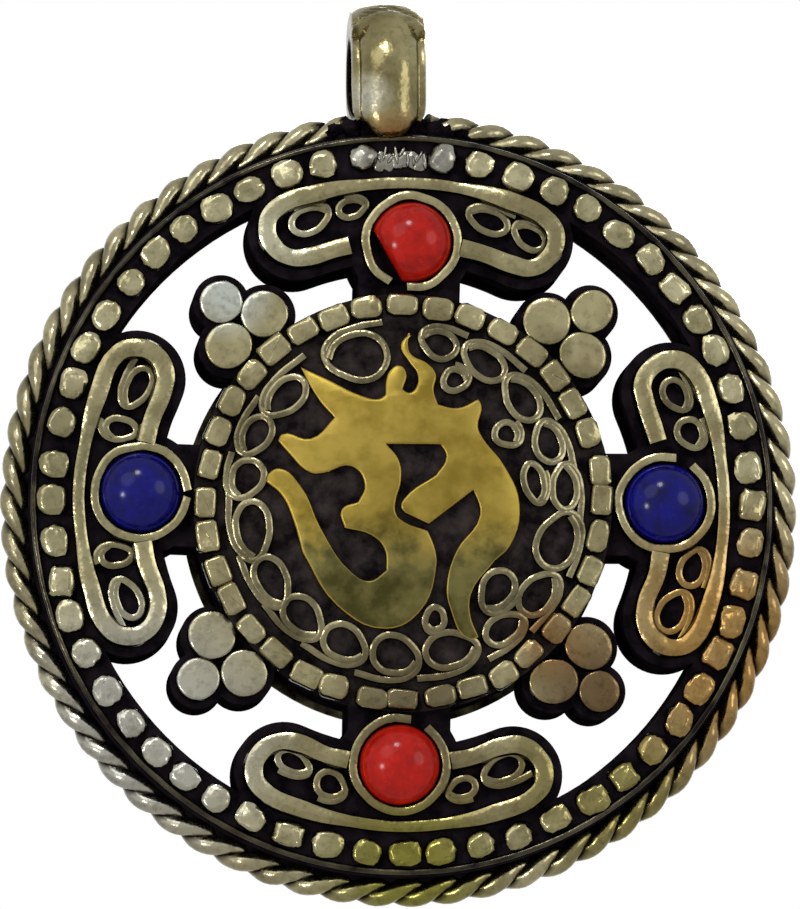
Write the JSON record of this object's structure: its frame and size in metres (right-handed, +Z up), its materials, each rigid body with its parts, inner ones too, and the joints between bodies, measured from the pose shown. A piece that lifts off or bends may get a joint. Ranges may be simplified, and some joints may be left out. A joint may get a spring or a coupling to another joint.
{
  "type": "amulet box pendant",
  "caption": "Round openwork ghau pendant: a small amulet box with a domed filigree front, brass emblem, set stones, granulated rope rim, push-on back lid and a bail.",
  "frame": {"origin": "centre of the bail's bore, where the cord runs", "axes": "+X along the bail's bore, to the viewer's right; +Z up as the pendant hangs; the decorated front faces -Y"},
  "size_m": [0.0501, 0.0101, 0.0567],
  "materials": {
    "blackened_metal": "oxidised black-brown",
    "worn_white_metal": "rubbed white metal with warm tarnish",
    "brass_cutout": "satin, tarnished in the low spots",
    "red_coral": "polished cabochon",
    "lapis_blue": "polished cabochon",
    "handmade_paper": "matte",
    "cotton_thread": "matte"
  },
  "bodies": {
    "box": {"bail": "worn_white_metal", "bottom_bezel": "worn_white_metal", "bottom_coral": "red_coral", "bottom_lobe_base": "blackened_metal", "bottom_lobe_frame": "worn_white_metal", "bottom_lobe_scrolls": "worn_white_metal", "centre_scrolls": "worn_white_metal", "drum_wall": "blackened_metal", "emblem": "brass_cutout", "front_dome": "blackened_metal", "inner_granules": "worn_white_metal", "left_bezel": "worn_white_metal", "left_lapis": "lapis_blue", "left_lobe_base": "blackened_metal", "left_lobe_frame": "worn_white_metal", "left_lobe_scrolls": "worn_white_metal", "lower_left_cluster_base": "blackened_metal", "lower_left_discs": "worn_white_metal", "lower_right_cluster_base": "blackened_metal", "lower_right_discs": "worn_white_metal", "outer_granules": "worn_white_metal", "prayer_roll": "handmade_paper", "right_bezel": "worn_white_metal", "right_lapis": "lapis_blue", "right_lobe_base": "blackened_metal", "right_lobe_frame": "worn_white_metal", "right_lobe_scrolls": "worn_white_metal", "rim_band": "blackened_metal", "rim_rope": "worn_white_metal", "rim_wire": "worn_white_metal", "roll_thread": "cotton_thread", "top_bezel": "worn_white_metal", "top_coral": "red_coral", "top_lobe_base": "blackened_metal", "top_lobe_frame": "worn_white_metal", "top_lobe_scrolls": "worn_white_metal", "upper_left_cluster_base": "blackened_metal", "upper_left_discs": "worn_white_metal", "upper_right_cluster_base": "blackened_metal", "upper_right_discs": "worn_white_metal"},
    "lid": {"back_lid": "blackened_metal", "lid_collar": "blackened_metal"}
  },
  "joints": [
    {"name": "lid_slide", "type": "slide", "parent": "box", "child": "lid", "axis": [0, 1, 0], "range_m": [0, 0.01]}
  ]
}
